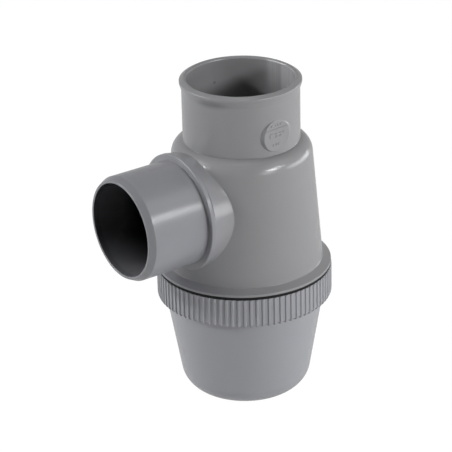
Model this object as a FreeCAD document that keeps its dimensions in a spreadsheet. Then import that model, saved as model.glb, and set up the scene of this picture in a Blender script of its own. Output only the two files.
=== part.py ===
"""Bottle trap for a 50 mm waste pipe: body moulding, rubber seal and screwed cup.

Millimetres. The origin is the middle of the cup's foot, +Z is up the trap's axis,
and the outlet spigot points along -X. Each sub-part is a body of the document, bound
to the named sizes of the sheet, and is written to parts/ under its label.
"""

import FreeCAD, Part

import math
import os
import re

import Sketcher

DRIVING_SIZES = [
    # the pipe that the trap is made for
    ("spigot_radius", 25.0, "outside of the outlet spigot, as of the pipe"),
    ("pipe_clearance", 0.2, "inlet socket's bore over the pipe"),
    # heights, each above the one before it
    ("cup_height", 46.7, "grip collar's underside above the foot"),
    ("grip_height", 16.6, "grip collar"),
    ("seal_thickness", 1.5, "flat ring, pressed between flange and cup"),
    ("flange_thickness", 3.0, "flange of the casing"),
    ("spigot_rise", 32.4, "spigot's axis above the flange"),
    ("shoulder_rise", 28.2, "shoulder above the spigot's axis"),
    ("socket_height", 30.6, "socket above the shoulder"),
    # inlet socket
    ("socket_wall", 2.4, "wall of the socket"),
    ("stop_drop", 0.4, "pipe's stop below the shoulder"),
    ("stop_width", 3.8, "how far the pipe's stop stands in"),
    ("lead_width", 0.7, "radial width of the lead-in chamfer"),
    ("lead_depth", 1.4, "depth of the lead-in chamfer"),
    ("lip_width", 1.0, "how far the lip stands out from the socket"),
    ("lip_ridge", 0.3, "flat ridge on top, outside the lead-in"),
    ("lip_slope", 1.5, "how far the lip's top falls out to its edge"),
    ("lip_band", 0.8, "straight band at the lip's edge"),
    ("lip_taper", 3.0, "height of the taper under the band"),
    ("lip_round", 0.5, "rounding of the lip's outer edge"),
    # casing
    ("shoulder_width", 5.1, "shoulder out from the socket, before rounding"),
    ("shoulder_round", 7.2, "rounding of the shoulder"),
    ("casing_flare", 4.9, "how far the casing widens down to the flange"),
    ("casing_wall", 3.0, "wall of the casing"),
    ("flange_width", 3.9, "flange out from the casing"),
    ("flange_slope", 1.8, "how far the flange's top falls out to its edge"),
    ("flange_top_round", 0.2, "rounding of the flange's upper edge"),
    ("flange_low_round", 0.3, "rounding of the flange's lower edge"),
    # outlet spigot
    ("spigot_wall", 2.8, "wall of the spigot"),
    ("spigot_length", 31.8, "spigot in front of its stop collar"),
    ("chamfer_width", 1.5, "radial width of the end chamfer"),
    ("chamfer_length", 3.0, "length of the end chamfer"),
    ("spigot_round", 0.3, "rounding of the end's edges"),
    # stop collar at the spigot's root, tapering towards the casing
    ("collar_stand", 5.0, "collar face out from the shoulder's radius"),
    ("collar_width", 3.0, "how far the collar face stands out from the spigot"),
    ("collar_band", 1.8, "straight band behind the collar face"),
    ("collar_taper", 15.9, "taper behind the band, ending in the casing wall"),
    ("collar_round", 0.5, "rounding of the collar's front edge"),
    # flat round pad for marks on the socket, left bare
    ("pad_radius", 7.5, "face of the marking pad"),
    ("pad_rise", 9.4, "middle of the pad above the shoulder"),
    ("pad_stand", 0.4, "pad face out from the socket, at its middle"),
    ("pad_depth", 3.5, "depth of the pad's sloped side, mostly inside the wall"),
    ("pad_flare", 1.6, "how far the side slopes out over that depth"),
    # dip tube inside the casing
    ("dip_wall", 2.2, "wall of the dip tube"),
    ("dip_clearance", 25.4, "dip tube's end above the cup's floor"),
    # threaded skirt under the flange
    ("skirt_inset", 0.6, "skirt's core, under its thread, in from the casing"),
    ("skirt_wall", 2.6, "wall of the skirt"),
    # seal
    ("seal_inset", 0.3, "seal's outer edge in from the flange's"),
    ("seal_clearance", 0.3, "between the skirt and the seal"),
    # cup
    ("grip_overhang", 0.3, "grip collar out from the flange"),
    ("grip_step", 4.4, "cup in from the grip collar, just under it"),
    ("grip_floor", 2.6, "grip collar's underside to the ledge in the cup"),
    ("grip_round", 5.1, "rounding of the grip collar's lower edge"),
    ("cup_taper", 8.0, "how far the cup narrows down to its foot"),
    ("cup_foot_round", 12.2, "rounding of the cup's foot"),
    ("cup_wall", 2.6, "wall of the cup"),
    ("thread_clearance", 1.3, "collar bore over the skirt's core, for both threads"),
    ("ledge_clearance", 1.1, "skirt's end above the ledge in the cup"),
    ("groove_depth", 0.6, "grip grooves"),
    ("groove_angle", 2.5, "width of a grip groove round the axis, degrees"),
    ("groove_count", 90, "grip grooves"),
]

# heights and radii that follow from the driving sizes
GRIP_TOP = "cup_height + grip_height"
FLANGE_UNDERSIDE = f"{GRIP_TOP} + seal_thickness"
FLANGE_TOP = f"{FLANGE_UNDERSIDE} + flange_thickness"
SPIGOT_AXIS = f"{FLANGE_TOP} + spigot_rise"
SHOULDER = f"{SPIGOT_AXIS} + shoulder_rise"
PIPE_STOP = f"{SHOULDER} - stop_drop"
LIP_TOP = f"{SHOULDER} + socket_height"
LIP_EDGE = f"{LIP_TOP} - lip_slope"
LEDGE = "cup_height + grip_floor"
SKIRT_END = f"{LEDGE} + ledge_clearance"
INLET_BORE = "spigot_radius + pipe_clearance"
SOCKET = f"{INLET_BORE} + socket_wall"
SHOULDER_RADIUS = f"{SOCKET} + shoulder_width"
CASING_FOOT = f"{SHOULDER_RADIUS} + casing_flare"
SKIRT = f"{CASING_FOOT} - skirt_inset"
FLANGE = f"{CASING_FOOT} + flange_width"
GRIP = f"{FLANGE} + grip_overhang"
CUP_TOP = f"{GRIP} - grip_step"
CUP_FOOT = f"{CUP_TOP} - cup_taper"
DIP_BORE = f"{INLET_BORE} - stop_width"
COLLAR_REACH = f"{SHOULDER_RADIUS} + collar_stand"

DOC = FreeCAD.newDocument("bottle_trap")
SHEET = DOC.addObject("Spreadsheet::Sheet", "Sizes")
ALIAS = re.compile(r"\b[a-z]+(?:_[a-z]+)+\b")
LABELS = {}


def fill_sheet():
    """Write one row for each driving size: name, value and what it is."""
    for row, (alias, value, note) in enumerate(DRIVING_SIZES, start=1):
        SHEET.set(f"A{row}", alias)
        SHEET.set(f"B{row}", str(value))
        SHEET.set(f"C{row}", note)
        SHEET.setAlias(f"B{row}", alias)
    DOC.recompute()


def size(alias):
    """The number that the sheet holds under this name."""
    return float(SHEET.get(alias))


def bound(text):
    """Turn a formula of size names into an expression that reads the sheet."""
    return ALIAS.sub(lambda name: "Sizes." + name.group(0), text)


def origin_feature(body, role):
    """The body's own origin plane or axis with this role."""
    for feature in body.Origin.OriginFeatures:
        if feature.Role == role:
            return feature
    raise ValueError(f"no origin feature {role}")


def new_body(label):
    """An empty body, placed at the document's origin."""
    body = DOC.addObject("PartDesign::Body", label)
    body.Label = label
    body.Placement = FreeCAD.Placement()
    return body


def new_sketch(body, name, plane="XZ_Plane"):
    """A sketch on one of the body's own origin planes."""
    sketch = body.newObject("Sketcher::SketchObject", name)
    sketch.AttachmentSupport = [(origin_feature(body, plane), "")]
    sketch.MapMode = "FlatFace"
    return sketch


def bind_point(sketch, geometry, end, label, across, up, spot=(1.0, 1.0)):
    """Hold one end of a sketch line at (across, up) by two bound dimensions."""
    axes = (("DistanceX", "x_", across, -2, spot[0]), ("DistanceY", "y_", up, -1, spot[1]))
    for kind, prefix, text, axis, start in axes:
        if text == "0":
            sketch.addConstraint(Sketcher.Constraint("PointOnObject", geometry, end, axis))
            continue
        index = sketch.addConstraint(Sketcher.Constraint(kind, -1, 1, geometry, end, start))
        sketch.renameConstraint(index, prefix + label)
        sketch.setExpression("Constraints." + prefix + label, bound(text))


def outline(sketch, corners):
    """Close straight lines through named corners: (name, across, up) formulas."""
    count = len(corners)
    turn = 2 * math.pi / count
    spots = [FreeCAD.Vector(math.cos(i * turn), math.sin(i * turn), 0) for i in range(count)]
    for i in range(count):
        sketch.addGeometry(Part.LineSegment(spots[i], spots[(i + 1) % count]))
    for i in range(count):
        sketch.addConstraint(Sketcher.Constraint("Coincident", i, 2, (i + 1) % count, 1))
    for i, (label, across, up) in enumerate(corners):
        bind_point(sketch, i, 1, label, across, up)
    LABELS[sketch.Name] = [label for label, across, up in corners]


def corner(sketch, label):
    """Where a named corner of an outline lies in the document, after a recompute."""
    line = sketch.Geometry[LABELS[sketch.Name].index(label)]
    return sketch.Placement.multVec(line.StartPoint)


def revolve(body, name, sketch, cut=False, axis="V_Axis", angle=None):
    """Turn a sketch about one of its own axes, added to the body or cut from it."""
    kind = "PartDesign::Groove" if cut else "PartDesign::Revolution"
    feature = body.newObject(kind, name)
    feature.Profile = sketch
    feature.ReferenceAxis = (sketch, [axis])
    if angle:
        feature.Midplane = True
        feature.setExpression("Angle", bound(angle))
    else:
        feature.Angle = 360
    return feature


def round_corner(body, name, base, sketch, label, radius):
    """Fillet the edge that a sketch's named corner made when it was turned into base."""
    DOC.recompute()
    spot = corner(sketch, label)
    axis_height = sketch.Placement.Base.z
    if axis_height:
        reach, centre = spot.z - axis_height, FreeCAD.Vector(spot.x, 0, axis_height)
    else:
        reach, centre = abs(spot.x), FreeCAD.Vector(0, 0, spot.z)
    edges = [
        f"Edge{i}"
        for i, edge in enumerate(base.Shape.Edges, start=1)
        if isinstance(edge.Curve, Part.Circle)
        and abs(edge.Curve.Radius - reach) < 0.01
        and (edge.Curve.Center - centre).Length < 0.01
    ]
    if not edges:
        raise ValueError(f"{name}: no edge to round")
    fillet = body.newObject("PartDesign::Fillet", name)
    fillet.Base = (base, edges)
    fillet.setExpression("Radius", bound(radius))
    return fillet


def casing_solid(body):
    """Shoulder, casing, flange and skirt turned about the axis: (solid, sketch)."""
    sketch = new_sketch(body, "casing_outline")
    outline(sketch, [
        ("skirt_middle", "0", SKIRT_END),
        ("skirt_end", SKIRT, SKIRT_END),
        ("skirt_root", SKIRT, FLANGE_UNDERSIDE),
        ("flange_low", FLANGE, FLANGE_UNDERSIDE),
        ("flange_top", FLANGE, f"{FLANGE_TOP} - flange_slope"),
        ("casing_foot", CASING_FOOT, FLANGE_TOP),
        ("shoulder", SHOULDER_RADIUS, SHOULDER),
        ("shoulder_middle", "0", SHOULDER),
    ])
    solid = revolve(body, "casing", sketch)
    solid = round_corner(body, "shoulder_rounding", solid, sketch, "shoulder", "shoulder_round")
    return solid, sketch


def socket_solid(body):
    """The inlet socket and its lip on top of the shoulder: (solid, sketch)."""
    sketch = new_sketch(body, "socket_outline")
    outline(sketch, [
        ("foot_middle", "0", f"{SHOULDER} - casing_wall"),
        ("foot", SOCKET, f"{SHOULDER} - casing_wall"),
        ("lip_foot", SOCKET, f"{LIP_EDGE} - lip_band - lip_taper"),
        ("lip_low", f"{SOCKET} + lip_width", f"{LIP_EDGE} - lip_band"),
        ("lip_top", f"{SOCKET} + lip_width", LIP_EDGE),
        ("lip_ridge", f"{INLET_BORE} + lead_width + lip_ridge", LIP_TOP),
        ("lip_middle", "0", LIP_TOP),
    ])
    return revolve(body, "socket", sketch), sketch


def spigot_solid(body):
    """Spigot and stop collar turned about the spigot's axis: (solid, sketch)."""
    sketch = new_sketch(body, "spigot_outline")
    sketch.setExpression("AttachmentOffset.Base.y", bound(SPIGOT_AXIS))
    face = "spigot_radius + collar_width"
    band = f"collar_band - ({COLLAR_REACH})"
    end = f"-({COLLAR_REACH}) - spigot_length"
    outline(sketch, [
        ("end_middle", end, "0"),
        ("end_rim", end, "spigot_radius - chamfer_width"),
        ("chamfer", f"{end} + chamfer_length", "spigot_radius"),
        ("collar_inner", f"-({COLLAR_REACH})", "spigot_radius"),
        ("collar_face", f"-({COLLAR_REACH})", face),
        ("collar_back", band, face),
        ("collar_root", f"{band} + collar_taper", "spigot_radius"),
        ("root_middle", f"{band} + collar_taper", "0"),
    ])
    return revolve(body, "spigot", sketch, axis="H_Axis"), sketch


def marking_pad(body):
    """A disc with a sloped side on the socket's -Y side, its flat face facing -Y."""
    sketch = new_sketch(body, "pad_outline", "YZ_Plane")
    sketch.setExpression("AttachmentOffset.Base.y", bound(f"{SHOULDER} + pad_rise"))
    face = f"-({SOCKET}) - pad_stand"
    outline(sketch, [
        ("face_middle", face, "0"),
        ("face_rim", face, "pad_radius"),
        ("root_rim", f"{face} + pad_depth", "pad_radius + pad_flare"),
        ("root_middle", f"{face} + pad_depth", "0"),
    ])
    return revolve(body, "marking_pad", sketch, axis="H_Axis")


def hollow_casing(body):
    """Cut the water space out of the casing, open at the skirt's end."""
    sketch = new_sketch(body, "chamber_outline")
    outline(sketch, [
        ("open_middle", "0", f"{SKIRT_END} - casing_wall"),
        ("open_rim", f"{SKIRT} - skirt_wall", f"{SKIRT_END} - casing_wall"),
        ("casing_foot", f"{SKIRT} - skirt_wall", FLANGE_TOP),
        ("ceiling_rim", f"{SHOULDER_RADIUS} - casing_wall", f"{SHOULDER} - casing_wall"),
        ("ceiling_middle", "0", f"{SHOULDER} - casing_wall"),
    ])
    return revolve(body, "chamber", sketch, cut=True)


def bore_spigot(body):
    """Cut the outlet's bore through the spigot into the water space."""
    sketch = new_sketch(body, "outlet_outline")
    sketch.setExpression("AttachmentOffset.Base.y", bound(SPIGOT_AXIS))
    outside = f"-({COLLAR_REACH}) - spigot_length - spigot_wall"
    outline(sketch, [
        ("inner_middle", "0", "0"),
        ("outer_middle", outside, "0"),
        ("outer_wall", outside, "spigot_radius - spigot_wall"),
        ("inner_wall", "0", "spigot_radius - spigot_wall"),
    ])
    return revolve(body, "outlet_bore", sketch, cut=True, axis="H_Axis")


def dip_tube(body):
    """The tube that leads the water down from the socket into the cup."""
    sketch = new_sketch(body, "dip_outline")
    outline(sketch, [
        ("end_inner", DIP_BORE, "cup_wall + dip_clearance"),
        ("end_outer", f"{DIP_BORE} + dip_wall", "cup_wall + dip_clearance"),
        ("top_outer", f"{DIP_BORE} + dip_wall", PIPE_STOP),
        ("top_inner", DIP_BORE, PIPE_STOP),
    ])
    return revolve(body, "dip_tube", sketch)


def bore_inlet(body):
    """Cut the lead-in, the pipe's socket down to its stop, and the bore below it."""
    sketch = new_sketch(body, "inlet_outline")
    foot = f"{PIPE_STOP} - casing_wall - socket_wall"
    outline(sketch, [
        ("foot_middle", "0", foot),
        ("foot", DIP_BORE, foot),
        ("stop_inner", DIP_BORE, PIPE_STOP),
        ("stop_outer", INLET_BORE, PIPE_STOP),
        ("lead_foot", INLET_BORE, f"{LIP_TOP} - lead_depth"),
        ("lead_rim", f"{INLET_BORE} + lead_width", LIP_TOP),
        ("top_middle", "0", LIP_TOP),
    ])
    return revolve(body, "inlet_bore", sketch, cut=True)


def trap_body():
    """The body moulding: outer form first, then its hollows and the dip tube."""
    body = new_body("trap_body")
    solid, casing = casing_solid(body)
    solid, socket = socket_solid(body)
    solid, spigot = spigot_solid(body)
    marking_pad(body)
    hollow_casing(body)
    bore_spigot(body)
    dip_tube(body)
    last = bore_inlet(body)
    for name, sketch, label, radius in (
        ("lip_rounding", socket, "lip_top", "lip_round"),
        ("flange_top_rounding", casing, "flange_top", "flange_top_round"),
        ("flange_low_rounding", casing, "flange_low", "flange_low_round"),
        ("collar_rounding", spigot, "collar_face", "collar_round"),
        ("spigot_rounding", spigot, "end_rim", "spigot_round"),
    ):
        last = round_corner(body, name, last, sketch, label, radius)
    return body


def seal_ring():
    """Flat rubber ring between the flange and the cup's rim."""
    disc = DOC.addObject("Part::Cylinder", "seal_disc")
    hole = DOC.addObject("Part::Cylinder", "seal_hole")
    disc.setExpression("Radius", bound(f"{FLANGE} - seal_inset"))
    hole.setExpression("Radius", bound(f"{SKIRT} + seal_clearance"))
    for cylinder in (disc, hole):
        cylinder.setExpression("Height", bound("seal_thickness"))
    ring = DOC.addObject("Part::Cut", "seal_ring")
    ring.Base = disc
    ring.Tool = hole
    ring.Label = "seal_ring"
    ring.setExpression("Placement.Base.z", bound(GRIP_TOP))
    return ring


def grip_collar(body):
    """The thick collar round the cup's mouth, with its lower edge rounded."""
    sketch = new_sketch(body, "grip_outline")
    outline(sketch, [
        ("low_middle", "0", "cup_height"),
        ("low_rim", GRIP, "cup_height"),
        ("top_rim", GRIP, GRIP_TOP),
        ("top_middle", "0", GRIP_TOP),
    ])
    collar = revolve(body, "grip_collar", sketch)
    round_corner(body, "grip_rounding", collar, sketch, "low_rim", "grip_round")
    return sketch


def tapered_cup(body):
    """The cup below the collar: a cone, let into the collar."""
    sketch = new_sketch(body, "cup_outline")
    outline(sketch, [
        ("foot_middle", "0", "0"),
        ("foot_rim", CUP_FOOT, "0"),
        ("inside_rim", f"{CUP_TOP} + cup_wall * cup_taper / cup_height", "cup_height + cup_wall"),
        ("inside_middle", "0", "cup_height + cup_wall"),
    ])
    revolve(body, "tapered_cup", sketch)
    return sketch


def hollow_cup(body, cup_sketch):
    """Cut the cup's inside, the ledge and the collar's bore, then round both feet."""
    sketch = new_sketch(body, "hollow_outline")
    foot = f"{CUP_FOOT} - cup_wall"
    outline(sketch, [
        ("floor_middle", "0", "cup_wall"),
        ("floor_rim", f"{foot} + cup_wall * cup_taper / cup_height", "cup_wall"),
        ("ledge_inner", f"{foot} + ({LEDGE}) * cup_taper / cup_height", LEDGE),
        ("ledge_outer", f"{SKIRT} + thread_clearance", LEDGE),
        ("mouth_rim", f"{SKIRT} + thread_clearance", FLANGE_TOP),
        ("mouth_middle", "0", FLANGE_TOP),
    ])
    hollow = revolve(body, "cup_hollow", sketch, cut=True)
    inside = round_corner(body, "floor_rounding", hollow, sketch, "floor_rim",
                          "cup_foot_round - cup_wall")
    round_corner(body, "foot_rounding", inside, cup_sketch, "foot_rim", "cup_foot_round")


def grip_grooves(body, grip_sketch):
    """Grooves down the collar and round its lower edge: one, then a polar pattern."""
    sketch = new_sketch(body, "groove_outline")
    rim = corner(grip_sketch, "top_rim")
    bend = FreeCAD.Vector(rim.x - size("grip_round"), size("cup_height") + size("grip_round"), 0)
    floor = size("grip_round") - size("groove_depth")
    foot = rim.x - size("grip_step") + size("groove_depth") / 2
    low = size("cup_height") - size("groove_depth")
    outside, top = rim.x + size("groove_depth"), rim.z + size("groove_depth")
    drop = math.sqrt(floor ** 2 - (foot - bend.x) ** 2)
    spots = [
        FreeCAD.Vector(*spot, 0)
        for spot in (
            (bend.x + floor, bend.y), (bend.x + floor, top), (outside, top),
            (outside, low), (foot, low), (foot, bend.y - drop),
        )
    ]
    for start, end in zip(spots, spots[1:]):
        sketch.addGeometry(Part.LineSegment(start, end))
    circle = Part.Circle(bend, FreeCAD.Vector(0, 0, 1), floor)
    arc = len(spots) - 1
    sketch.addGeometry(Part.ArcOfCircle(circle, -math.asin(drop / floor), 0.0))
    for i in range(arc + 1):
        after = (i + 1) % (arc + 1)
        sketch.addConstraint(Sketcher.Constraint("Coincident", i, 2, after, 1))
    for line, kind in enumerate(("Vertical", "Horizontal", "Vertical", "Horizontal", "Vertical")):
        sketch.addConstraint(Sketcher.Constraint(kind, line))
    for geometry, end, label, across, up, spot in (
        (arc, 3, "bend", f"{GRIP} - grip_round", "cup_height + grip_round", bend),
        (0, 1, "root", f"{GRIP} - groove_depth", "cup_height + grip_round", spots[0]),
        (2, 1, "outside", f"{GRIP} + groove_depth", f"{GRIP_TOP} + groove_depth", spots[2]),
        (4, 1, "foot", f"{CUP_TOP} + groove_depth / 2", "cup_height - groove_depth", spots[4]),
    ):
        bind_point(sketch, geometry, end, label, across, up, (spot.x, spot.y))
    groove = revolve(body, "grip_groove", sketch, cut=True, angle="groove_angle")
    DOC.recompute()
    pattern = body.newObject("PartDesign::PolarPattern", "grip_grooves")
    pattern.Originals = [groove]
    pattern.Axis = (origin_feature(body, "Z_Axis"), [""])
    pattern.Angle = 360
    pattern.setExpression("Occurrences", bound("groove_count"))
    body.Tip = pattern


def cup():
    """The cup moulding: grip collar, cup, their inside, then the grip grooves."""
    body = new_body("cup")
    grip_sketch = grip_collar(body)
    cup_sketch = tapered_cup(body)
    hollow_cup(body, cup_sketch)
    grip_grooves(body, grip_sketch)
    return body


def check_document(parts):
    """Stop if any object failed or any sub-part is empty, invalid or not one solid."""
    for item in DOC.Objects:
        if "Invalid" in item.State or "Error" in item.State:
            raise RuntimeError(f"{item.Name} failed: {item.State}")
    for part in parts:
        shape = part.Shape
        if shape.isNull() or not shape.isValid() or len(shape.Solids) != 1:
            raise RuntimeError(f"{part.Label}: not one valid solid")
        box = shape.BoundBox
        print(f"{part.Label}: {shape.Volume:.1f} mm3, x {box.XMin:.2f}..{box.XMax:.2f},"
              f" y {box.YMin:.2f}..{box.YMax:.2f}, z {box.ZMin:.2f}..{box.ZMax:.2f}")


def main():
    """Build every sub-part, check it and write its STEP file."""
    fill_sheet()
    parts = [trap_body(), seal_ring(), cup()]
    DOC.recompute()
    check_document(parts)
    os.makedirs("parts", exist_ok=True)
    for part in parts:
        part.Shape.exportStep(f"parts/{part.Label}.step")


main()
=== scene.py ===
import math

import bmesh
import bpy
import numpy as np
from mathutils import Matrix, Vector

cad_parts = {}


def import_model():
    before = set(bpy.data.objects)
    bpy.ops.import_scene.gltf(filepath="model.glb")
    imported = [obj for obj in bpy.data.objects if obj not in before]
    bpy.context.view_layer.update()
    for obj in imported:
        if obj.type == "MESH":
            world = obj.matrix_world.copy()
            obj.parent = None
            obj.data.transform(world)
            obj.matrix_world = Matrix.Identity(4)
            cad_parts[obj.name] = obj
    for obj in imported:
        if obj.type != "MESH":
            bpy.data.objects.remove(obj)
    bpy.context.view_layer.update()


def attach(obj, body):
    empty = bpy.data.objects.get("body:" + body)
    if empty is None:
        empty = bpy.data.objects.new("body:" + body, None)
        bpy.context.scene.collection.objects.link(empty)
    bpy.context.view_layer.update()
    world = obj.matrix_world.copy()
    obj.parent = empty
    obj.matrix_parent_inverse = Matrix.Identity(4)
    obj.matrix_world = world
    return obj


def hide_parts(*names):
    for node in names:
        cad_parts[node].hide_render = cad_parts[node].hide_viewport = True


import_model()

MM = 0.001
FULL_TURN = 2 * math.pi

# Sizes in millimetres, the same as the CAD part's. The trap stands on its cup with its axis on Z,
# and the outlet spigot points along -X.
AXIS_Z = 100.2  # height of the spigot's axis
SPIGOT_R = 25.0
SPIGOT_BORE = 22.2
SPIGOT_END = -69.5
STOP_FACE = -37.7  # front of the stop collar
STOP_R = 28.0
TAPER_START = -20.0  # the collar's taper starts inside the casing
BAND_START = -35.9  # and ends here in a level band
SOCKET_R = 27.6
SOCKET_BORE = 25.2
ROOT_R = 27.3  # a shallow groove round the foot of the socket
FOOT_R = 0.15  # fillet between that groove and the shoulder
SHOULDER = (26.06, 121.2)  # middle (r, z) of the shoulder's rounding
SHOULDER_R = 7.2
CASING_TAPER = (4.9, 60.6)  # the casing widens by the first over the second in height
CASING_FOOT = (37.56, 68.3)
INNER_FOOT = (34.4, 67.8)  # ends (r, z) of the casing's inner cone
INNER_TOP = (29.7, 125.4)
TUBE_R = 23.6  # the dip tube
TUBE_BORE = 21.4
TUBE_END = 28.0
PIPE_STOP = 128.0  # the ledge that a pipe in the socket stands on
FLANGE_R = 41.5
FLANGE_LOW = 64.8
SKIRT_R = 37.0  # core of the outer thread
SKIRT_END = 50.4
CUP_BORE = 38.3  # core of the inner thread
GRIP_R = 41.8
GRIP_TOP = 63.3
GRIP_LOW = 48.9
THREAD_DEPTH = 1.0
PITCH = 4.0

# Columns round the turned surfaces, and the columns and rows that stay open round the spigot.
COLUMNS = 240
OPEN = slice(COLUMNS // 2 - 39, COLUMNS // 2 + 39)
OPEN_ROWS = 44

# One grip groove over its 4 degrees: angle and depth at each column, from the groove's floor up
# its side to the rib and down again.
GROOVES = 90
GROOVE_TURN = np.array([0, 0.92, 1.04, 1.16, 1.38, 1.50, 2.0, 2.50, 2.62, 2.84, 2.96, 3.08])
GROOVE_DEPTH = np.array([0.6, 0.6, 0.58, 0.50, 0.08, 0.0, 0.0, 0.0, 0.08, 0.50, 0.58, 0.6])

# The marking pad: middle's height, radius of its face, face at the middle, its lean towards +X,
# depth of its side, and the radius inside the socket's wall where its back lies.
PAD_Z = 137.8
PAD_R = 7.6
PAD_FACE = 27.7
PAD_LEAN = 0.08
PAD_SIDE = 3.5
PAD_BACK = 26.6

# Plain raised marks on the pad: height above its middle and half height, then x and half width.
PAD_MARKS = {
    (3.45, 0.26): ((0.0, 6.55),),
    (5.35, 0.42): ((-2.6, 0.8), (-0.6, 0.45), (0.9, 0.45), (2.7, 0.8)),
    (0.55, 1.05): ((-3.2, 1.15),),
    (1.15, 0.40): ((0.1, 0.9), (2.3, 0.55), (4.1, 0.55)),
    (-0.35, 0.40): ((0.0, 0.8), (2.4, 0.8)),
    (-4.1, 0.50): ((-2.0, 0.5), (-0.4, 0.35), (1.3, 0.7)),
}
# The side of a mark: depth behind the pad's face, and how much smaller the mark is there.
MARK_LEVELS = ((0.2, -0.14), (0.0, -0.06), (-0.18, 0.0), (-0.26, 0.08))

# Pigments, in sRGB. The spigot's side of the body is a little cooler than the rest: a painted tint of
# cool light from the left front.
BODY_GREY = "#929294"
SPIGOT_COOL_LIGHT_GREY = "#909196"
CUP_GREY = "#9fa0a5"
RUBBER_BLACK = "#070708"
RUBBER_DUST = "#101011"
SHEET_WHITE = "#e6e6e6"

# Patterns in cycles a metre, with the real size that each stands for.
CLOUD = 26.0  # cloudy pigment, patches 38 mm across
WAVES = 70.0  # sink waves, 14 mm
GRAIN = 1500.0  # mould texture and its flecks, 0.7 mm
RUBS = (2600.0, 2600.0, 130.0)  # upright rub marks, 0.4 mm wide and 8 mm tall
LIGHT_STREAKS = (180.0, 540.0, 13.2)  # painted light in the socket, in streaks 2 to 6 mm wide and 76 mm tall
DUST = 140.0  # bloom on the rubber, 7 mm
RUBBER_GRAIN = 2500.0  # 0.4 mm

# The photograph's view: a 36 mm sensor, about 1.2 m away. Place in metres, angles in degrees.
LENS = 196.15
CAMERA_AT = (-0.62255, -0.86224, 0.571)
CAMERA_TURN, CAMERA_RISE, CAMERA_ROLL = -35.385, 24.665, -1.33

# Soft boxes, all facing the trap's middle from this far, in metres: name, azimuth and elevation
# in degrees, size in metres and power in watts.
LAMP_TARGET = (-0.01, 0.0, 0.085)
LAMP_DISTANCE = 0.9
LAMPS = (
    ("key_box", -77, 21, (0.20, 0.12), 2.55),
    ("key_high", -68, 29, (0.20, 0.10), 0.50),
    ("key_right", -60, 25, (0.20, 0.16), 0.65),
    ("key_low", -84, 4, (0.30, 0.20), 0.90),
    ("right_box", -22, 1, (0.95, 0.32), 4.00),
    ("right_high", -48, 48, (0.50, 0.30), 0.45),
    ("rear_spot", 161, 31, (0.18, 0.05), 2.00),
    ("rear_left", 135, 30, (0.40, 0.30), 1.80),
    ("rear_left_high", 142, 45, (0.40, 0.30), 0.75),
    ("rear_left_low", 145, 15, (0.40, 0.20), 1.95),
    ("overhead", 0, 88, (0.30, 0.30), 0.30),
)


def arc(centre, radius, start, end, steps):
    """Points (r, z) on a circle about centre from start to end, in degrees."""
    turn = np.radians(np.linspace(start, end, steps + 1))
    return np.column_stack([centre[0] + radius * np.cos(turn), centre[1] + radius * np.sin(turn)])


def rounded(corners, step=11.0):
    """An open outline through corners (r, z, radius), with an arc of that radius at each corner."""
    spots = np.array([corner[:2] for corner in corners], float)
    out = [spots[:1]]
    for k in range(1, len(corners) - 1):
        here, radius = spots[k], corners[k][2]
        a, b = spots[k - 1] - here, spots[k + 1] - here
        a, b = a / np.linalg.norm(a), b / np.linalg.norm(b)
        half = math.acos(float(np.clip(a @ b, -1, 1))) / 2
        if radius <= 0 or half > math.radians(89.5):
            out.append(here[None])
            continue
        middle = here + (a + b) / np.linalg.norm(a + b) * radius / math.sin(half)
        first = here + a * radius / math.tan(half) - middle
        last = here + b * radius / math.tan(half) - middle
        turn = math.pi - 2 * half
        steps = max(2, math.ceil(math.degrees(turn) / step))
        t = np.linspace(0, 1, steps + 1)[:, None]
        swing = first * np.sin((1 - t) * turn) + last * np.sin(t * turn)
        out.append(middle + swing / math.sin(turn))
    out.append(spots[-1:])
    return np.vstack(out)


def polar(r, turn, z):
    """Points (..., 3) at radius r and angle turn about Z, at height z."""
    return np.stack(np.broadcast_arrays(r * np.cos(turn), r * np.sin(turn), z), -1)


def angle(points):
    """Angle about Z of points (..., 3), from 0 to a full turn."""
    return np.arctan2(points[..., 1], points[..., 0]) % FULL_TURN


def turned(outline, columns):
    """Grid (rows, columns, 3) of an outline (r, z) turned about Z; angle k is 360 k / columns."""
    turn = np.linspace(0, FULL_TURN, columns, endpoint=False)
    return polar(outline[:, 0, None], turn, outline[:, 1, None])


def thread(points, low, high, shift):
    """Depth of a right-hand screw thread at points (..., 3), running out at heights low and high.

    It is a cosine of the height over PITCH less the share of a turn, cut off flat at crest and root.
    """
    height = points[..., 2]
    wave = 0.5 + 0.9 * np.cos(FULL_TURN * (height / PITCH - angle(points) / FULL_TURN - shift))
    runs_out = np.clip((height - low) / 1.2, 0, 1) * np.clip((high - height) / 1.2, 0, 1)
    return THREAD_DEPTH * np.clip(wave, 0, 1) * runs_out


def bisect(before, low, high):
    """Where before(t) turns from true, at low, to false, at high, for whole arrays by halving."""
    for _ in range(50):
        middle = (low + high) / 2
        true = before(middle)
        low, high = np.where(true, middle, low), np.where(true, high, middle)
    return middle


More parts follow.
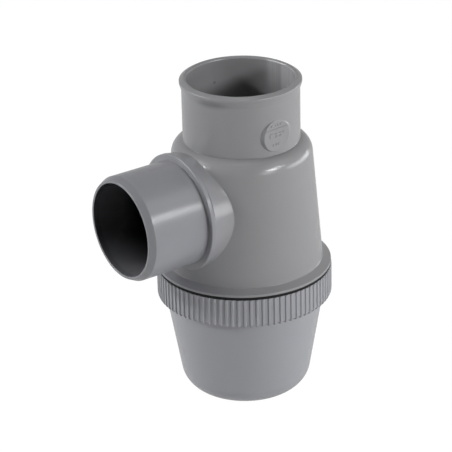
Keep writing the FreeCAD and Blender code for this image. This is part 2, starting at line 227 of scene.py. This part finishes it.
class Build:
    """Vertices and faces of one closed surface, kept as whole arrays and joined by index rings."""

    def __init__(self):
        self.points = []
        self.count = 0
        self.quads = []
        self.others = []

    def add(self, points):
        """Add points (any shape, 3) and return their indices in that shape."""
        ids = np.arange(points[..., 0].size).reshape(points.shape[:-1]) + self.count
        self.points.append(points.reshape(-1, 3))
        self.count += ids.size
        return ids

    def rings(self, ids):
        """Quads between closed rings of indices, each ring joined to the next."""
        for a, b in zip(ids[:-1], ids[1:]):
            self.quads.append(np.column_stack([a, np.roll(a, -1), np.roll(b, -1), b]))

    def stitch(self, fine, coarse):
        """Join a fine ring to a coarse one, with one face along each edge of the coarse ring."""
        runs = fine.reshape(len(coarse), -1)
        after = np.roll(runs[:, 0], -1)
        self.others += np.column_stack([runs, after, np.roll(coarse, -1), coarse]).tolist()

    def cap(self, ring, middle):
        """Close a ring with a fan about one point."""
        centre = np.repeat(self.add(np.array([middle], float)), len(ring))
        self.others += np.column_stack([ring, np.roll(ring, -1), centre]).tolist()

    def mesh(self, name):
        """The object, with outward normals, smooth faces and creases sharp past 38 degrees."""
        faces = np.vstack(self.quads).tolist() + self.others
        mesh = bpy.data.meshes.new(name)
        mesh.from_pydata((np.vstack(self.points) * MM).tolist(), [], faces)
        work = bmesh.new()
        work.from_mesh(mesh)
        bmesh.ops.recalc_face_normals(work, faces=work.faces)
        work.to_mesh(mesh)
        work.free()
        mesh.polygons.foreach_set("use_smooth", np.ones(len(mesh.polygons), bool))
        mesh.set_sharp_from_angle(angle=math.radians(38.0))
        thing = bpy.data.objects.new(name, mesh)
        bpy.context.scene.collection.objects.link(thing)
        thing.modifiers.new("even_normals", "WEIGHTED_NORMAL").keep_sharp = True
        return thing


# The casing's outside, from the foot of the socket over the round shoulder and down the cone. The
# first angle is where the root's fillet touches the shoulder, the second where the cone starts.
TOP_TURN = math.degrees(math.acos((ROOT_R + FOOT_R - SHOULDER[0]) / (SHOULDER_R + FOOT_R)))
LOW_TURN = math.degrees(math.atan2(*CASING_TAPER))
FOOT_Z = SHOULDER[1] + (SHOULDER_R + FOOT_R) * math.sin(math.radians(TOP_TURN))
OUTSIDE = np.vstack([arc(SHOULDER, SHOULDER_R, TOP_TURN, LOW_TURN, 140), [CASING_FOOT]])
OUTSIDE_S = np.concatenate([[0], np.cumsum(np.hypot(*np.diff(OUTSIDE, axis=0).T))])


def outside(s):
    """(r, z) on the casing's outside, s mm along it from the foot of the socket."""
    return np.stack([np.interp(s, OUTSIDE_S, OUTSIDE[:, k]) for k in (0, 1)], -1)


def outside_s(z):
    """How far along the casing's outside, in mm from the foot of the socket, the height z lies."""
    return np.interp(-z, -OUTSIDE[:, 1], OUTSIDE_S)


def inside_r(z):
    """Radius of the casing's inner cone, on the straight line from INNER_FOOT to INNER_TOP."""
    (low_r, low_z), (top_r, top_z) = INNER_FOOT, INNER_TOP
    return low_r + (top_r - low_r) * (z - low_z) / (top_z - low_z)


def collar_r(x):
    """Radius of the stop collar: it tapers towards the casing and has a level band at its end."""
    return np.interp(-x, [-TAPER_START, -BAND_START], [SPIGOT_R, STOP_R])


def window_ring(ids, rows):
    """Indices round the opening that the spigot leaves in a wall; rows go from the lowest up."""
    a, b = OPEN.start, OPEN.stop
    sides = ids[rows[0], a:b], ids[rows[:-1], b], ids[rows[-1], b:a:-1], ids[rows[:0:-1], a]
    return np.concatenate(sides)


def body_outline():
    """Outline (r, z) of the body's section, and the row at which each of its stretches starts.

    It runs from the socket's bore over the lip and down the outside to the flange, down and round
    the skirt, up the casing's inner cone, down and up the dip tube and back to the bore.
    """
    s_round = SHOULDER_R * math.radians(TOP_TURN - LOW_TURN)
    s_low = outside_s(69.9)
    wall_s = np.concatenate([np.linspace(0.25, s_round, 17), np.linspace(s_round, s_low, 29)[1:]])
    inner_z = np.linspace(75.6, 124.3, OPEN_ROWS + 1)
    socket = rounded([
        (SOCKET_BORE, 143.0, 0), (SOCKET_BORE, 159.7, 1.2), (28.6, 157.7, 0.5), (28.6, 156.6, 0.45),
        (SOCKET_R, 153.5, 1.2), (SOCKET_R, 128.95, 0.1), (ROOT_R, 128.75, 0.1), (ROOT_R, FOOT_Z, 0),
    ])
    foot = arc((ROOT_R + FOOT_R, FOOT_Z), FOOT_R, 180, 180 + TOP_TURN, 4)[1:]
    flange = rounded([
        (*outside(s_low), 0), (37.6, 67.8, 0.35), (FLANGE_R, 66.0, 0.2), (FLANGE_R, FLANGE_LOW, 0.12),
        (SKIRT_R, FLANGE_LOW, 0.2), (SKIRT_R, 64.0, 0),
    ])[1:]
    skirt = np.column_stack([np.full(52, SKIRT_R), np.linspace(64.0, 51.2, 53)[1:]])
    skirt_end = rounded([
        (SKIRT_R, 51.2, 0), (SKIRT_R, SKIRT_END, 0.6), (INNER_FOOT[0], SKIRT_END, 0.6),
        (*INNER_FOOT, 3.0), (33.9, 74.0, 0),
    ])[1:]
    cone = np.column_stack([inside_r(inner_z), inner_z])
    dip_tube = rounded([
        (*cone[-1], 0), (*INNER_TOP, 0.6), (TUBE_R, INNER_TOP[1], 0.6), (TUBE_R, TUBE_END, 0.5),
        (TUBE_BORE, TUBE_END, 0.5), (TUBE_BORE, PIPE_STOP, 0.3),
        (SOCKET_BORE, PIPE_STOP, 0.3), (SOCKET_BORE, 143.0, 0),
    ])[1:-1]
    stretches = {
        "socket": np.vstack([socket, foot]), "wall": outside(wall_s), "flange": flange,
        "skirt": skirt, "skirt_end": skirt_end, "cone": cone, "dip_tube": dip_tube,
    }
    ends = np.cumsum([len(rows) for rows in stretches.values()])
    first = {name: end - len(rows) for (name, rows), end in zip(stretches.items(), ends)}
    return np.vstack(list(stretches.values())), first


def trap_body():
    """The body as one closed surface.

    The outline (r, z) is turned about Z, and the skirt's radius grows by the thread's height. Rows
    and columns round the spigot are left out of both walls, and add_spigot fills these openings.
    """
    outline, first = body_outline()
    grid = turned(outline, COLUMNS)
    rows = slice(first["skirt"] - 1, first["skirt_end"])
    grow = 1 + thread(grid[rows], 51.4, 63.2, 0.0) / SKIRT_R
    grid[rows, :, :2] *= grow[..., None]
    build = Build()
    ids = build.add(grid)
    beside, across = np.roll(ids, -1, 1), np.roll(ids, (-1, -1), (0, 1))
    faces = np.stack([ids, beside, across, np.roll(ids, -1, 0)], -1)
    keep = np.ones(ids.shape, bool)
    for row in (first["wall"], first["cone"]):
        keep[row:row + OPEN_ROWS, OPEN] = False
    build.quads.append(faces[keep])
    opening = np.arange(OPEN_ROWS + 1)
    outer_edge = window_ring(ids, first["wall"] + opening[::-1])
    inner_edge = window_ring(ids, first["cone"] + opening)
    add_spigot(build, grid.reshape(-1, 3), outer_edge, inner_edge)
    add_pad(build)
    return build.mesh("body")


def add_spigot(build, points, outer_edge, inner_edge):
    """The spigot with its stop collar, and the walls between it and the two openings' edges.

    Every ring keeps the angle p about the spigot's axis that a point of the outer opening has. The
    collar meets the casing where sqrt(x^2 + y^2) = R(z) with y = rho(x) cos(p) and
    z = AXIS_Z + rho(x) sin(p). The wall between is spaced evenly in length and angle along the
    casing, and a quadratic curve from it to the collar is the fillet.
    """
    rim = points[outer_edge]
    p = np.arctan2(rim[:, 2] - AXIS_Z, rim[:, 1])

    def on_spigot(x, rho):
        return np.stack([x + 0 * p, rho * np.cos(p), AXIS_Z + rho * np.sin(p)], -1)

    def casing_r(rho):
        return outside(outside_s(AXIS_Z + rho * np.sin(p)))[:, 0]

    def is_clear(x):
        rho = collar_r(x)
        return np.hypot(x, rho * np.cos(p)) > casing_r(rho)

    x = bisect(is_clear, np.full(p.shape, -37.6), np.full(p.shape, TAPER_START))
    rho = collar_r(x)
    meeting = on_spigot(x, rho)
    curve_s, curve_t = outside_s(meeting[:, 2]), angle(meeting)
    edge_s, edge_t = outside_s(rim[:, 2]), angle(rim)
    fillet = np.minimum(0.3, 0.4 * (x - STOP_FACE))
    start = fillet / np.hypot((edge_t - curve_t) * casing_r(rho), edge_s - curve_s)
    share = start + (1 - start) * np.linspace(0, 1, 15)[:-1, None] ** 1.2
    wall_rz = outside(curve_s + (edge_s - curve_s) * share)
    wall = polar(wall_rz[..., 0], curve_t + (edge_t - curve_t) * share, wall_rz[..., 1])

    tip = x - fillet
    t = np.linspace(0, 1, 6)[1:, None, None]
    head = on_spigot(tip, collar_r(tip))
    curved = (1 - t) ** 2 * wall[0] + 2 * t * (1 - t) * meeting + t**2 * head

    # A short groove in the taper beside the band, deepest at the front and run out at both ends.
    sink = np.interp(np.degrees(p), [0, 60, 140, 150, 166, 172], [0, 0.06, 0.08, 0.25, 0.25, 0])
    sink *= np.clip(tip + 35.3, 0, 1)
    rows = []
    for at, part in ((-35.35, 0.0), (-35.42, 1.0), (-35.62, 1.0), (-35.7, 0.0)):
        at = np.minimum(at, tip + 0.1 * (at + 34.9))
        rows.append((at, collar_r(at) - sink * part))
    crease = np.minimum(BAND_START, at - 0.04)
    rows.append((crease, collar_r(crease)))

    profile = rounded([
        (-36.3, STOP_R, 0), (STOP_FACE, STOP_R, 0.45), (STOP_FACE, SPIGOT_R, 0.12),
        (-45.0, SPIGOT_R, 0), (-66.5, SPIGOT_R, 0.8), (SPIGOT_END, 23.5, 0.35),
        (SPIGOT_END, SPIGOT_BORE, 0.3), (-60.0, SPIGOT_BORE, 0),
    ])[1:-1]
    rows.append((np.minimum(profile[0, 0], crease - 0.04), profile[0, 1]))
    rows += list(profile[1:])
    bore_y, bore_z = SPIGOT_BORE * np.cos(p), AXIS_Z + SPIGOT_BORE * np.sin(p)
    mouth = -np.sqrt(inside_r(bore_z) ** 2 - bore_y**2)
    rows += [((mouth - 69.0) / 2, SPIGOT_BORE), (mouth, SPIGOT_BORE)]
    wall_ids = build.add(wall)
    spigot_ids = build.add(np.concatenate([curved, [on_spigot(at, r) for at, r in rows]]))
    build.rings(np.vstack([outer_edge[None], wall_ids[::-1], spigot_ids]))

    hole, inner_rim = on_spigot(mouth, SPIGOT_BORE), points[inner_edge]
    share = np.linspace(0, 1, 5)[1:-1, None]
    z = hole[:, 2] + (inner_rim[:, 2] - hole[:, 2]) * share
    turn = angle(hole) + (angle(inner_rim) - angle(hole)) * share
    back_ids = build.add(polar(inside_r(z), turn, z))
    build.rings(np.vstack([spigot_ids[-1:], back_ids, inner_edge[None]]))


def add_pad(build):
    """The flat round pad on the socket's front, with a bar and plain raised marks.

    Its face is a disc at y = PAD_LEAN x - PAD_FACE, which runs out into the socket towards +X. Its
    side slopes outwards by flare over PAD_SIDE, and its back lies inside the socket's wall, so it
    closes without reaching the bore. A mark is a rounded rectangle, |cos q|^0.3 by |sin q|^0.3.
    """
    p = np.linspace(0, FULL_TURN, 96, endpoint=False)
    flare = np.interp(np.cos(p), [-0.2, 0.9], [1.4, 6.4])

    def ring(rho, y):
        return np.stack([rho * np.cos(p), y + 0 * p, PAD_Z + rho * np.sin(p)], -1)

    def behind(rho, depth):
        return ring(rho, PAD_LEAN * rho * np.cos(p) - PAD_FACE + depth)

    def is_out(t):
        return np.hypot(*behind(PAD_R + flare * t, PAD_SIDE * t)[:, :2].T) >= PAD_BACK

    t = bisect(is_out, np.zeros(p.shape), np.ones(p.shape))
    rho = PAD_R + flare * t
    rings = [behind(r, 0.0) for r in (2.5, 5.0, 7.0, 7.4)]
    rings.append(behind(PAD_R - 0.05 + 0.04 * flare * t, 0.03 + 0.04 * PAD_SIDE * t))
    rings += [behind(PAD_R + flare * t * q, PAD_SIDE * t * q) for q in (0.12, 0.3, 0.6, 1.0)]
    rings += [ring(rho * q, -np.sqrt(PAD_BACK**2 - (rho * q * np.cos(p)) ** 2)) for q in (0.66, 0.33)]
    ids = build.add(np.array(rings))
    build.rings(ids)
    build.cap(ids[0], (0, -PAD_FACE, PAD_Z))
    build.cap(ids[-1], (0, -PAD_BACK, PAD_Z))

    q = np.linspace(0, FULL_TURN, 24, endpoint=False)
    across, up = (np.sign(wave) * np.abs(wave) ** 0.3 for wave in (np.cos(q), np.sin(q)))
    spots = [(x, z, wide, tall) for (z, tall), row in PAD_MARKS.items() for x, wide in row]
    for x, z, wide, tall in spots:
        levels = []
        for depth, shrink in MARK_LEVELS:
            mark_x = x + across * max(wide - shrink, 0.05)
            mark_z = PAD_Z + z + up * max(tall - shrink, 0.05)
            levels.append(np.stack([mark_x, PAD_LEAN * mark_x - PAD_FACE + depth, mark_z], -1))
        ids = build.add(np.array(levels))
        build.rings(ids)
        build.others += [ids[-1].tolist(), ids[0][::-1].tolist()]


def cup():
    """The cup with its grip as one closed surface.

    The grip's outline is the rim's edge, the side at r = GRIP_R and a round of radius 1.8 over its
    flat underside, and a groove takes its depth off that outline along the normal. The twelve
    columns of a groove are joined to two columns on the rim's flat and on the wall. The wall and
    the inside are outlines (r, z) turned about Z, and the thread is taken off the bore's radius.
    """
    turn = np.radians((np.arange(GROOVES)[:, None] * 360 / GROOVES + GROOVE_TURN).ravel())
    depth = np.tile(GROOVE_DEPTH, GROOVES)
    edge, low_round = 0.15, 1.8
    rows = [(40.6, GRIP_TOP)]
    for a in np.radians([0, 30, 60, 90]):
        rows.append((GRIP_R - depth - edge + edge * math.sin(a), GRIP_TOP - edge + edge * math.cos(a)))
    rows.append((GRIP_R - depth, 57.0))
    for a in np.radians([0, 15, 30, 45, 60, 75, 90]):
        out, down = (low_round - depth) * math.cos(a), (low_round - depth) * math.sin(a)
        rows.append((GRIP_R - low_round + out, GRIP_LOW + low_round - down))
    build = Build()
    grip = build.add(np.array([polar(r, turn, z) for r, z in rows]))
    build.rings(grip)

    wall = rounded([(37.816, GRIP_LOW, 0), (29.4, 0.0, 12.2), (0.0, 0.0, 0)], 5.0)[:-1]
    wall = build.add(turned(np.vstack([wall, [(12.0, 0.0), (4.0, 0.0)]]), 2 * GROOVES))
    build.stitch(grip[-1], wall[0])
    build.rings(wall)
    build.cap(wall[-1], (0, 0, 0))

    thread_top, thread_low, floor = 62.7, 50.6, 2.6
    outline = np.vstack([
        rounded([(40.2, GRIP_TOP, 0), (CUP_BORE, GRIP_TOP, 0.4), (CUP_BORE, thread_top, 0)]),
        np.column_stack([np.full(49, CUP_BORE), np.linspace(thread_top, thread_low, 50)[1:]]),
        rounded([
            (CUP_BORE, thread_low, 0), (CUP_BORE, 49.3, 0.5), (35.24, 49.3, 0.4), (34.98, 47.8, 0),
        ])[1:],
        rounded([(34.98, 47.8, 0), (27.25, floor, 9.6), (0.0, floor, 0)], 6.0)[1:-1],
        [(10.0, floor), (3.0, floor)],
    ])
    grid = turned(outline, 2 * GROOVES)
    radius, height = outline[:, 0, None], outline[:, 1, None]
    in_bore = (height <= thread_top) & (height >= thread_low) & (radius > CUP_BORE - 0.1)
    cut = np.where(in_bore, thread(grid, 50.8, 62.5, 0.5), 0.0)
    grid[..., :2] *= (1 - cut / CUP_BORE)[..., None]
    inside = build.add(grid)
    build.stitch(grip[0], inside[0])
    build.rings(inside)
    build.cap(inside[-1], (0, 0, floor))
    return build.mesh("cup_piece")


def seal():
    """Flat rubber ring, pressed between the flange and the cup's rim.

    A rectangle (r, z) with rounded corners, closed and turned about Z.
    """
    outline = rounded([
        (39.4, GRIP_TOP, 0), (41.25, GRIP_TOP, 0.12), (41.25, FLANGE_LOW, 0.12),
        (38.15, FLANGE_LOW, 0.25), (38.15, GRIP_TOP, 0.25), (39.4, GRIP_TOP, 0),
    ], 15.0)
    build = Build()
    ids = build.add(turned(outline[:-1], COLUMNS))
    build.rings(np.vstack([ids, ids[:1]]))
    return build.mesh("seal")


def linear(code):
    """Linear red, green, blue and 1 from an sRGB hex value."""
    parts = [int(code[k:k + 2], 16) / 255 for k in (1, 3, 5)]
    return tuple(c / 12.92 if c <= 0.04045 else ((c + 0.055) / 1.055) ** 2.4 for c in parts) + (1.0,)


def add(tree, kind, inputs, take=0, **settings):
    """Add a node with its settings and links, and return one of its outputs, or all for None.

    inputs maps a socket's name or number to a value or to another node's output.
    """
    made = tree.nodes.new(kind)
    for key, value in settings.items():
        setattr(made, key, value)
    for key, value in inputs.items():
        if isinstance(value, bpy.types.NodeSocket):
            tree.links.new(value, made.inputs[key])
        else:
            made.inputs[key].default_value = value
    return made.outputs if take is None else made.outputs[take]


def blank(name):
    """A new material with an empty node tree."""
    material = bpy.data.materials.new(name)
    material.use_nodes = True
    material.node_tree.nodes.clear()
    return material, material.node_tree


def plastic(name, colour, body):
    """Injection-moulded grey PVC with a satin skin.

    The pigment is even, with a faint cloudiness and a grain; on the body the spigot's side is a
    cooler grey, a painted tint of cool light from the left front. The skin has the low waves of
    shrinkage, fine mould texture and light rub marks that vary its gloss. On the body a hair-fine
    ridge runs along the plane y = 0, where the two halves of the mould met, the inner walls are
    painted darker as painted shade, the socket's bore carries painted light, the spigot's chamfer
    painted shade, and the lip and the bore carry a darker patch and a dark speck.
    """
    material, tree = blank(name)
    spot = add(tree, "ShaderNodeTexCoord", {}, "Object")
    stretched = add(tree, "ShaderNodeVectorMath", {0: spot, 1: RUBS}, operation="MULTIPLY")
    cloud, grain, waves, rub = (
        add(tree, "ShaderNodeTexNoise", {
            "Vector": place, "Scale": scale, "Detail": detail, "Roughness": roughness,
        })
        for place, scale, detail, roughness in (
            (spot, CLOUD, 3.0, 0.55),
            (spot, GRAIN, 2.0, 0.6),
            (spot, WAVES, 1.0, 0.4),
            (stretched, 1.0, 3.0, 0.6),
        )
    )
    tone, fleck, gloss = (
        add(tree, "ShaderNodeMapRange", {"Value": noise, 1: low, 2: high, 3: start, 4: end})
        for noise, low, high, start, end in (
            (cloud, 0.3, 0.7, 0.98, 1.02),
            (grain, 0.25, 0.75, 0.99, 1.01),
            (rub, 0.3, 0.7, 0.22, 0.25),
        )
    )
    level = add(tree, "ShaderNodeMath", {0: tone, 1: fleck}, operation="MULTIPLY")
    bumps = [(waves, 0.00035, 0.15), (grain, 0.00002, 0.2)]
    pigment = linear(colour)[:3]
    if body:
        # marks() gives painted shade inside the outlet and chamber and on the chamfer, painted light in
        # the socket's bore, a darker patch and a speck.
        level = add(tree, "ShaderNodeMath", {0: level, 1: marks(tree, spot)}, operation="MULTIPLY")
        x, y, _ = add(tree, "ShaderNodeSeparateXYZ", {0: spot}, None)
        # The spigot's side fades to a cooler grey: painted cool light from the left front.
        side = add(tree, "ShaderNodeMapRange", {"Value": x, 1: -0.02, 2: -0.045, 3: 0.0, 4: 1.0})
        pigment = add(tree, "ShaderNodeMix", {
            "Factor": side, 6: linear(colour), 7: linear(SPIGOT_COOL_LIGHT_GREY),
        }, 2, data_type="RGBA")
        away = add(tree, "ShaderNodeMath", {0: y}, operation="ABSOLUTE")
        ridge = add(tree, "ShaderNodeMapRange", {"Value": away, 1: 0.0, 2: 0.00022, 3: 1.0, 4: 0.0})
        bumps.append((ridge, 0.00008, 0.8))
    # Each bump lies on the one before it.
    below = {}
    for height, distance, strength in bumps:
        bump = {"Height": height, "Distance": distance, "Strength": strength}
        below = {"Normal": add(tree, "ShaderNodeBump", bump | below)}
    shade = add(tree, "ShaderNodeVectorMath", {0: pigment, "Scale": level}, operation="SCALE")
    looks = {"Base Color": shade, "Roughness": gloss, "IOR": 1.53}
    skin = add(tree, "ShaderNodeBsdfPrincipled", looks | below)
    add(tree, "ShaderNodeOutputMaterial", {"Surface": skin}, None)
    return material


def marks(tree, spot):
    """Factor on the body's colour from where a point lies, in metres.

    Painted shade: the outlet's bore, the chamber and the dip tube are painted darker, more so deep
    in. Painted light: the socket's bore is paler on the side at +X, near the rim, in upright
    streaks. The spigot's chamfer is painted darker, painted shade. A darker patch lies under the
    lip at the front left, and one dark speck in the socket's bore.
    """
    x, _, z = add(tree, "ShaderNodeSeparateXYZ", {0: spot}, None)
    known = {"x": x, "z": z}
    # Distances from a point, with X, Y and Z weighed.
    for name, point, weights in (
        ("from_axis", (0.0, 0.0, 0.0), (1.0, 1.0, 0.0)),
        ("from_spigot_axis", (0.0, 0.0, AXIS_Z * MM), (0.0, 1.0, 1.0)),
        ("from_speck", (0.0029, 0.025, 0.1472), (1.0, 1.0, 1.0)),
        ("from_under_lip_patch", (-0.0252, -0.0113, 0.1543), (0.9, 0.9, 3.6)),
    ):
        gap = add(tree, "ShaderNodeVectorMath", {0: spot, 1: point}, operation="SUBTRACT")
        flat = add(tree, "ShaderNodeVectorMath", {0: gap, 1: weights}, operation="MULTIPLY")
        known[name] = add(tree, "ShaderNodeVectorMath", {0: flat}, "Value", operation="LENGTH")
    stretched = add(tree, "ShaderNodeVectorMath", {0: spot, 1: LIGHT_STREAKS}, operation="MULTIPLY")
    known["streaks"] = add(tree, "ShaderNodeTexNoise", {
        "Vector": stretched, "Scale": 1.0, "Detail": 1.0,
    })
    # Smooth steps: what they read, from where to where, and their level at each end.
    for name, source, low, high, start, end in (
        # Painted shade in the outlet's bore: outlet_deep grows further in, outlet_high higher up.
        ("outlet_deep", "x", -0.0695, -0.042, 0.34, 0.97),
        ("outlet_high", "z", 0.081, 0.0935, 0.34, 0.74),
        # Painted light on the socket's bore: paler on the side at +X, near the rim, in upright streaks.
        ("right_side", "x", 0.0218, 0.0243, 0.0, 1.0),
        ("near_rim", "z", 0.138, 0.150, 0.2, 1.0),
        ("streak", "streaks", 0.3, 0.7, 0.15, 0.46),
        # Painted shade on the spigot's end chamfer.
        ("chamfer", "x", -0.0669, -0.0661, 0.84, 1.0),
        ("speck", "from_speck", 0.0003, 0.0010, 0.62, 1.0),
        # A darker patch under the lip at the front left.
        ("under_lip_patch", "from_under_lip_patch", 0.002, 0.0105, 0.78, 1.0),
    ):
        known[name] = add(tree, "ShaderNodeMapRange", {
            "Value": known[source], 1: low, 2: high, 3: start, 4: end,
        }, interpolation_type="SMOOTHSTEP")
    # Then one Math node a line: what its result is called, the operation and the two terms.
    for name, operation, first, second in (
        ("in_spigot", "LESS_THAN", "from_spigot_axis", 0.02235),
        ("left_of_casing", "LESS_THAN", "x", -0.029),
        ("outlet", "MULTIPLY", "in_spigot", "left_of_casing"),
        # Painted shade: the outlet's bore darkens towards its inner end, and the chamber and dip tube
        # keep a quarter of their colour.
        ("outlet_dark", "MAXIMUM", "outlet_deep", "outlet_high"),
        ("outlet_dark", "MULTIPLY", "outlet", "outlet_dark"),
        ("cone", "SUBTRACT", "z", 0.0678),
        ("cone", "MULTIPLY", "cone", 0.0816),
        ("cone", "ADD", "from_axis", "cone"),
        ("in_cone", "LESS_THAN", "cone", 0.036),
        ("under_stop", "LESS_THAN", "z", 0.1262),
        ("chamber", "MULTIPLY", "in_cone", "under_stop"),
        ("chamber_dark", "MULTIPLY", "chamber", 0.75),
        ("dark", "MAXIMUM", "outlet_dark", "chamber_dark"),
        ("skin", "SUBTRACT", 1.0, "dark"),
        ("in_bore", "LESS_THAN", "from_axis", 0.0256),
        # Painted light: the socket's bore made paler, in streaks.
        ("over_stop", "GREATER_THAN", "z", 0.1282),
        ("painted_light", "MULTIPLY", "in_bore", "over_stop"),
        ("painted_light", "MULTIPLY", "painted_light", "right_side"),
        ("painted_light", "MULTIPLY", "painted_light", "near_rim"),
        ("painted_light", "MULTIPLY", "painted_light", "streak"),
        ("painted_light", "ADD", 1.0, "painted_light"),
        ("skin", "MULTIPLY", "skin", "painted_light"),
        ("skin", "MULTIPLY", "skin", "chamfer"),
        ("skin", "MULTIPLY", "skin", "speck"),
        ("skin", "MULTIPLY", "skin", "under_lip_patch"),
    ):
        terms = {0: known.get(first, first), 1: known.get(second, second)}
        known[name] = add(tree, "ShaderNodeMath", terms, operation=operation)
    return known["skin"]


def rubber(name):
    """Black moulded rubber: matt, with a bloom of dust that lightens it in patches and a fine grain."""
    material, tree = blank(name)
    spot = add(tree, "ShaderNodeTexCoord", {}, "Object")
    dust = add(tree, "ShaderNodeTexNoise", {
        "Vector": spot, "Scale": DUST, "Detail": 4.0, "Roughness": 0.6,
    })
    grain = add(tree, "ShaderNodeTexNoise", {"Vector": spot, "Scale": RUBBER_GRAIN, "Detail": 2.0})
    shade = add(tree, "ShaderNodeMix", {
        "Factor": dust, 6: linear(RUBBER_BLACK), 7: linear(RUBBER_DUST),
    }, 2, data_type="RGBA")
    bump = add(tree, "ShaderNodeBump", {"Height": grain, "Distance": 0.00005, "Strength": 0.5})
    skin = add(tree, "ShaderNodeBsdfPrincipled", {
        "Base Color": shade, "Roughness": 0.7, "Specular IOR Level": 0.3, "Normal": bump,
    })
    add(tree, "ShaderNodeOutputMaterial", {"Surface": skin}, None)
    return material


def white_sheet():
    """Matt white sheet that keeps the trap's shadow faintly.

    The camera sees it 96 parts in 100 as even light of strength 1.03, just over white, and the
    rest as lit by the lamps. Reflections see it at 0.6, as a sheet that shades off around the trap.
    """
    material, tree = blank("white_sheet")
    path = add(tree, "ShaderNodeLightPath", {}, None)
    seen = path["Is Camera Ray"]
    for ray in ("Is Glossy Ray", "Is Transmission Ray"):
        seen = add(tree, "ShaderNodeMath", {0: seen, 1: path[ray]}, operation="MAXIMUM")
    share = add(tree, "ShaderNodeMath", {0: seen, 1: 0.96}, operation="MULTIPLY")
    level = add(tree, "ShaderNodeMapRange", {"Value": path["Is Glossy Ray"], 3: 1.03, 4: 0.60})
    matt = add(tree, "ShaderNodeBsdfDiffuse", {"Color": linear(SHEET_WHITE)})
    glow = add(tree, "ShaderNodeEmission", {"Color": (1, 1, 1, 1), "Strength": level})
    both = add(tree, "ShaderNodeMixShader", {0: share, 1: matt, 2: glow})
    add(tree, "ShaderNodeOutputMaterial", {"Surface": both}, None)
    return material


def world():
    """White surroundings for the camera, at half strength in reflections, that light nothing."""
    made = bpy.data.worlds.new("studio")
    made.use_nodes = True
    tree = made.node_tree
    tree.nodes.clear()
    path = add(tree, "ShaderNodeLightPath", {}, None)
    shine = add(tree, "ShaderNodeMath", {0: path["Is Glossy Ray"], 1: 0.5}, operation="MULTIPLY")
    level = path["Is Camera Ray"]
    for ray in (path["Is Transmission Ray"], shine):
        level = add(tree, "ShaderNodeMath", {0: level, 1: ray}, operation="MAXIMUM")
    light = add(tree, "ShaderNodeBackground", {"Color": (1, 1, 1, 1), "Strength": level})
    add(tree, "ShaderNodeOutputWorld", {"Surface": light}, None)
    bpy.context.scene.world = made


def lamp(name, turn, rise, size, power):
    """A soft box at that azimuth and elevation, in degrees, facing the trap's middle."""
    a, e = math.radians(turn), math.radians(rise)
    way = Vector((math.cos(a) * math.cos(e), math.sin(a) * math.cos(e), math.sin(e)))
    data = bpy.data.lights.new(name, "AREA")
    data.shape = "RECTANGLE"
    data.size, data.size_y = size
    data.energy = power
    thing = bpy.data.objects.new(name, data)
    thing.location = Vector(LAMP_TARGET) + way * LAMP_DISTANCE
    thing.rotation_mode = "QUATERNION"
    thing.rotation_quaternion = way.to_track_quat("Z", "Y")
    bpy.context.scene.collection.objects.link(thing)


def camera():
    """The photograph's camera: turned about Z, tipped down from level and rolled a little."""
    data = bpy.data.cameras.new("camera")
    data.lens = LENS
    data.sensor_width = 36.0
    data.clip_start, data.clip_end = 0.05, 20.0
    thing = bpy.data.objects.new("camera", data)
    place = Matrix.Translation(CAMERA_AT)
    for degrees, axis in ((CAMERA_TURN, "Z"), (90 - CAMERA_RISE, "X"), (CAMERA_ROLL, "Z")):
        place = place @ Matrix.Rotation(math.radians(degrees), 4, axis)
    thing.matrix_world = place
    bpy.context.scene.collection.objects.link(thing)
    bpy.context.scene.camera = thing


def floor():
    """A wide level sheet, 0.1 mm under the trap."""
    mesh = bpy.data.meshes.new("floor")
    side = 4.0
    corners = [(-side, -side, 0), (side, -side, 0), (side, side, 0), (-side, side, 0)]
    mesh.from_pydata(corners, [], [(0, 1, 2, 3)])
    mesh.materials.append(white_sheet())
    thing = bpy.data.objects.new("floor", mesh)
    thing.location = (0, 0, -0.0001)
    bpy.context.scene.collection.objects.link(thing)


for thing, rides_on, node, slot, material in (
    (trap_body(), "body", "trap_body", "body_pvc", plastic("grey_pvc_body", BODY_GREY, True)),
    (seal(), "seal", "seal_ring", "seal_rubber", rubber("black_rubber")),
    (cup(), "cup", "cup", "cup_pvc", plastic("grey_pvc_cup", CUP_GREY, False)),
):
    thing.data.materials.append(material)
    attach(thing, rides_on)
    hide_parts(node)

floor()
camera()
world()
for settings in LAMPS:
    lamp(*settings)
bpy.context.scene.view_settings.view_transform = "Standard"
